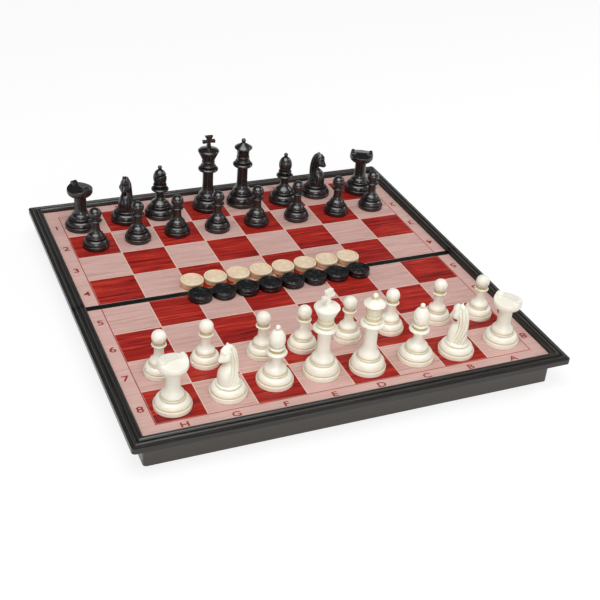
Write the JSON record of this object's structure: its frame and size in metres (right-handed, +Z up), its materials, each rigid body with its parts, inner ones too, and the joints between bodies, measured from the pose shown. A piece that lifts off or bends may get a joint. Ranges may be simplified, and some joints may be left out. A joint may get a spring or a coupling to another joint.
{
  "type": "folding games compendium box",
  "caption": "Shallow two-part box that folds along its middle, with a chequered playing board on its outside, hollow halves behind it and magnetic chessmen and draughts set out on it.",
  "frame": {"origin": "middle of the opened box, level with the bottom edges of its walls", "axes": "+Z up out of the playing boards, X along the seam, +Y from the seam towards the far edge of the rear half"},
  "size_m": [0.2488, 0.2532, 0.069],
  "materials": {
    "case_plastic": "satin moulded, dark grey black",
    "sheet_steel": "thin tinned sheet",
    "board_print": "red and pink wood-grain print under a satin film",
    "lining_print": "printed card under a satin film",
    "magnet": "ground ferrite",
    "hinge_plastic": "smooth moulded",
    "pin_steel": "drawn wire",
    "white_man_plastic": "glossy ivory",
    "black_man_plastic": "glossy brown black",
    "cream_draught_plastic": "satin cream",
    "black_draught_plastic": "satin black"
  },
  "bodies": {
    "rear_half": {"rear_shell": "case_plastic", "rear_steel_sheet": "sheet_steel", "rear_board_print": "board_print", "rear_inner_lining": "lining_print", "rear_closing_magnets": "magnet"},
    "hinge_links": {"hinge_links": "hinge_plastic", "hinge_pins": "pin_steel"},
    "front_half": {"front_shell": "case_plastic", "front_steel_sheet": "sheet_steel", "front_board_print": "board_print", "front_inner_lining": "lining_print", "front_closing_magnets": "magnet"},
    "black_rook_h": {"black_rook_h": "black_man_plastic"},
    "black_knight_g": {"black_knight_g": "black_man_plastic"},
    "black_bishop_f": {"black_bishop_f": "black_man_plastic"},
    "black_king_e": {"black_king_e": "black_man_plastic"},
    "black_queen_d": {"black_queen_d": "black_man_plastic"},
    "black_bishop_c": {"black_bishop_c": "black_man_plastic"},
    "black_knight_b": {"black_knight_b": "black_man_plastic"},
    "black_rook_a": {"black_rook_a": "black_man_plastic"},
    "black_pawn_h": {"black_pawn_h": "black_man_plastic"},
    "black_pawn_g": {"black_pawn_g": "black_man_plastic"},
    "black_pawn_f": {"black_pawn_f": "black_man_plastic"},
    "black_pawn_e": {"black_pawn_e": "black_man_plastic"},
    "black_pawn_d": {"black_pawn_d": "black_man_plastic"},
    "black_pawn_c": {"black_pawn_c": "black_man_plastic"},
    "black_pawn_b": {"black_pawn_b": "black_man_plastic"},
    "black_pawn_a": {"black_pawn_a": "black_man_plastic"},
    "white_rook_h": {"white_rook_h": "white_man_plastic"},
    "white_knight_g": {"white_knight_g": "white_man_plastic"},
    "white_bishop_f": {"white_bishop_f": "white_man_plastic"},
    "white_king_e": {"white_king_e": "white_man_plastic"},
    "white_queen_d": {"white_queen_d": "white_man_plastic"},
    "white_bishop_c": {"white_bishop_c": "white_man_plastic"},
    "white_knight_b": {"white_knight_b": "white_man_plastic"},
    "white_rook_a": {"white_rook_a": "white_man_plastic"},
    "white_pawn_h": {"white_pawn_h": "white_man_plastic"},
    "white_pawn_g": {"white_pawn_g": "white_man_plastic"},
    "white_pawn_f": {"white_pawn_f": "white_man_plastic"},
    "white_pawn_e": {"white_pawn_e": "white_man_plastic"},
    "white_pawn_d": {"white_pawn_d": "white_man_plastic"},
    "white_pawn_c": {"white_pawn_c": "white_man_plastic"},
    "white_pawn_b": {"white_pawn_b": "white_man_plastic"},
    "white_pawn_a": {"white_pawn_a": "white_man_plastic"},
    "cream_draught_1": {"cream_draught_1": "cream_draught_plastic"},
    "cream_draught_2": {"cream_draught_2": "cream_draught_plastic"},
    "cream_draught_3": {"cream_draught_3": "cream_draught_plastic"},
    "cream_draught_4": {"cream_draught_4": "cream_draught_plastic"},
    "cream_draught_5": {"cream_draught_5": "cream_draught_plastic"},
    "cream_draught_6": {"cream_draught_6": "cream_draught_plastic"},
    "cream_draught_7": {"cream_draught_7": "cream_draught_plastic"},
    "cream_draught_8": {"cream_draught_8": "cream_draught_plastic"},
    "black_draught_1": {"black_draught_1": "black_draught_plastic"},
    "black_draught_2": {"black_draught_2": "black_draught_plastic"},
    "black_draught_3": {"black_draught_3": "black_draught_plastic"},
    "black_draught_4": {"black_draught_4": "black_draught_plastic"},
    "black_draught_5": {"black_draught_5": "black_draught_plastic"},
    "black_draught_6": {"black_draught_6": "black_draught_plastic"},
    "black_draught_7": {"black_draught_7": "black_draught_plastic"},
    "black_draught_8": {"black_draught_8": "black_draught_plastic"}
  },
  "joints": [
    {"name": "fold", "type": "hinge", "parent": "rear_half", "child": "hinge_links", "pos_m": [0, 0.0032, 0.003], "axis": [1, 0, 0], "range_deg": [0, 90]},
    {"name": "fold_front", "type": "hinge", "parent": "hinge_links", "child": "front_half", "pos_m": [0, -0.0032, 0.003], "axis": [1, 0, 0], "range_deg": [0, 90]},
    {"name": "lift_black_rook_h", "type": "slide", "parent": "rear_half", "child": "black_rook_h", "axis": [0, 0, 1], "range_m": [0, 0.04]},
    {"name": "lift_black_knight_g", "type": "slide", "parent": "rear_half", "child": "black_knight_g", "axis": [0, 0, 1], "range_m": [0, 0.04]},
    {"name": "lift_black_bishop_f", "type": "slide", "parent": "rear_half", "child": "black_bishop_f", "axis": [0, 0, 1], "range_m": [0, 0.04]},
    {"name": "lift_black_king_e", "type": "slide", "parent": "rear_half", "child": "black_king_e", "axis": [0, 0, 1], "range_m": [0, 0.04]},
    {"name": "lift_black_queen_d", "type": "slide", "parent": "rear_half", "child": "black_queen_d", "axis": [0, 0, 1], "range_m": [0, 0.04]},
    {"name": "lift_black_bishop_c", "type": "slide", "parent": "rear_half", "child": "black_bishop_c", "axis": [0, 0, 1], "range_m": [0, 0.04]},
    {"name": "lift_black_knight_b", "type": "slide", "parent": "rear_half", "child": "black_knight_b", "axis": [0, 0, 1], "range_m": [0, 0.04]},
    {"name": "lift_black_rook_a", "type": "slide", "parent": "rear_half", "child": "black_rook_a", "axis": [0, 0, 1], "range_m": [0, 0.04]},
    {"name": "lift_black_pawn_h", "type": "slide", "parent": "rear_half", "child": "black_pawn_h", "axis": [0, 0, 1], "range_m": [0, 0.04]},
    {"name": "lift_black_pawn_g", "type": "slide", "parent": "rear_half", "child": "black_pawn_g", "axis": [0, 0, 1], "range_m": [0, 0.04]},
    {"name": "lift_black_pawn_f", "type": "slide", "parent": "rear_half", "child": "black_pawn_f", "axis": [0, 0, 1], "range_m": [0, 0.04]},
    {"name": "lift_black_pawn_e", "type": "slide", "parent": "rear_half", "child": "black_pawn_e", "axis": [0, 0, 1], "range_m": [0, 0.04]},
    {"name": "lift_black_pawn_d", "type": "slide", "parent": "rear_half", "child": "black_pawn_d", "axis": [0, 0, 1], "range_m": [0, 0.04]},
    {"name": "lift_black_pawn_c", "type": "slide", "parent": "rear_half", "child": "black_pawn_c", "axis": [0, 0, 1], "range_m": [0, 0.04]},
    {"name": "lift_black_pawn_b", "type": "slide", "parent": "rear_half", "child": "black_pawn_b", "axis": [0, 0, 1], "range_m": [0, 0.04]},
    {"name": "lift_black_pawn_a", "type": "slide", "parent": "rear_half", "child": "black_pawn_a", "axis": [0, 0, 1], "range_m": [0, 0.04]},
    {"name": "lift_white_rook_h", "type": "slide", "parent": "front_half", "child": "white_rook_h", "axis": [0, 0, 1], "range_m": [0, 0.04]},
    {"name": "lift_white_knight_g", "type": "slide", "parent": "front_half", "child": "white_knight_g", "axis": [0, 0, 1], "range_m": [0, 0.04]},
    {"name": "lift_white_bishop_f", "type": "slide", "parent": "front_half", "child": "white_bishop_f", "axis": [0, 0, 1], "range_m": [0, 0.04]},
    {"name": "lift_white_king_e", "type": "slide", "parent": "front_half", "child": "white_king_e", "axis": [0, 0, 1], "range_m": [0, 0.04]},
    {"name": "lift_white_queen_d", "type": "slide", "parent": "front_half", "child": "white_queen_d", "axis": [0, 0, 1], "range_m": [0, 0.04]},
    {"name": "lift_white_bishop_c", "type": "slide", "parent": "front_half", "child": "white_bishop_c", "axis": [0, 0, 1], "range_m": [0, 0.04]},
    {"name": "lift_white_knight_b", "type": "slide", "parent": "front_half", "child": "white_knight_b", "axis": [0, 0, 1], "range_m": [0, 0.04]},
    {"name": "lift_white_rook_a", "type": "slide", "parent": "front_half", "child": "white_rook_a", "axis": [0, 0, 1], "range_m": [0, 0.04]},
    {"name": "lift_white_pawn_h", "type": "slide", "parent": "front_half", "child": "white_pawn_h", "axis": [0, 0, 1], "range_m": [0, 0.04]},
    {"name": "lift_white_pawn_g", "type": "slide", "parent": "front_half", "child": "white_pawn_g", "axis": [0, 0, 1], "range_m": [0, 0.04]},
    {"name": "lift_white_pawn_f", "type": "slide", "parent": "front_half", "child": "white_pawn_f", "axis": [0, 0, 1], "range_m": [0, 0.04]},
    {"name": "lift_white_pawn_e", "type": "slide", "parent": "front_half", "child": "white_pawn_e", "axis": [0, 0, 1], "range_m": [0, 0.04]},
    {"name": "lift_white_pawn_d", "type": "slide", "parent": "front_half", "child": "white_pawn_d", "axis": [0, 0, 1], "range_m": [0, 0.04]},
    {"name": "lift_white_pawn_c", "type": "slide", "parent": "front_half", "child": "white_pawn_c", "axis": [0, 0, 1], "range_m": [0, 0.04]},
    {"name": "lift_white_pawn_b", "type": "slide", "parent": "front_half", "child": "white_pawn_b", "axis": [0, 0, 1], "range_m": [0, 0.04]},
    {"name": "lift_white_pawn_a", "type": "slide", "parent": "front_half", "child": "white_pawn_a", "axis": [0, 0, 1], "range_m": [0, 0.04]},
    {"name": "lift_cream_draught_1", "type": "slide", "parent": "rear_half", "child": "cream_draught_1", "axis": [0, 0, 1], "range_m": [0, 0.04]},
    {"name": "lift_cream_draught_2", "type": "slide", "parent": "rear_half", "child": "cream_draught_2", "axis": [0, 0, 1], "range_m": [0, 0.04]},
    {"name": "lift_cream_draught_3", "type": "slide", "parent": "rear_half", "child": "cream_draught_3", "axis": [0, 0, 1], "range_m": [0, 0.04]},
    {"name": "lift_cream_draught_4", "type": "slide", "parent": "rear_half", "child": "cream_draught_4", "axis": [0, 0, 1], "range_m": [0, 0.04]},
    {"name": "lift_cream_draught_5", "type": "slide", "parent": "rear_half", "child": "cream_draught_5", "axis": [0, 0, 1], "range_m": [0, 0.04]},
    {"name": "lift_cream_draught_6", "type": "slide", "parent": "rear_half", "child": "cream_draught_6", "axis": [0, 0, 1], "range_m": [0, 0.04]},
    {"name": "lift_cream_draught_7", "type": "slide", "parent": "rear_half", "child": "cream_draught_7", "axis": [0, 0, 1], "range_m": [0, 0.04]},
    {"name": "lift_cream_draught_8", "type": "slide", "parent": "rear_half", "child": "cream_draught_8", "axis": [0, 0, 1], "range_m": [0, 0.04]},
    {"name": "lift_black_draught_1", "type": "slide", "parent": "front_half", "child": "black_draught_1", "axis": [0, 0, 1], "range_m": [0, 0.04]},
    {"name": "lift_black_draught_2", "type": "slide", "parent": "front_half", "child": "black_draught_2", "axis": [0, 0, 1], "range_m": [0, 0.04]},
    {"name": "lift_black_draught_3", "type": "slide", "parent": "front_half", "child": "black_draught_3", "axis": [0, 0, 1], "range_m": [0, 0.04]},
    {"name": "lift_black_draught_4", "type": "slide", "parent": "front_half", "child": "black_draught_4", "axis": [0, 0, 1], "range_m": [0, 0.04]},
    {"name": "lift_black_draught_5", "type": "slide", "parent": "front_half", "child": "black_draught_5", "axis": [0, 0, 1], "range_m": [0, 0.04]},
    {"name": "lift_black_draught_6", "type": "slide", "parent": "front_half", "child": "black_draught_6", "axis": [0, 0, 1], "range_m": [0, 0.04]},
    {"name": "lift_black_draught_7", "type": "slide", "parent": "front_half", "child": "black_draught_7", "axis": [0, 0, 1], "range_m": [0, 0.04]},
    {"name": "lift_black_draught_8", "type": "slide", "parent": "front_half", "child": "black_draught_8", "axis": [0, 0, 1], "range_m": [0, 0.04]}
  ],
  "couplings": [
    {"joint": "fold_front", "follows": "fold", "ratio": 1}
  ]
}
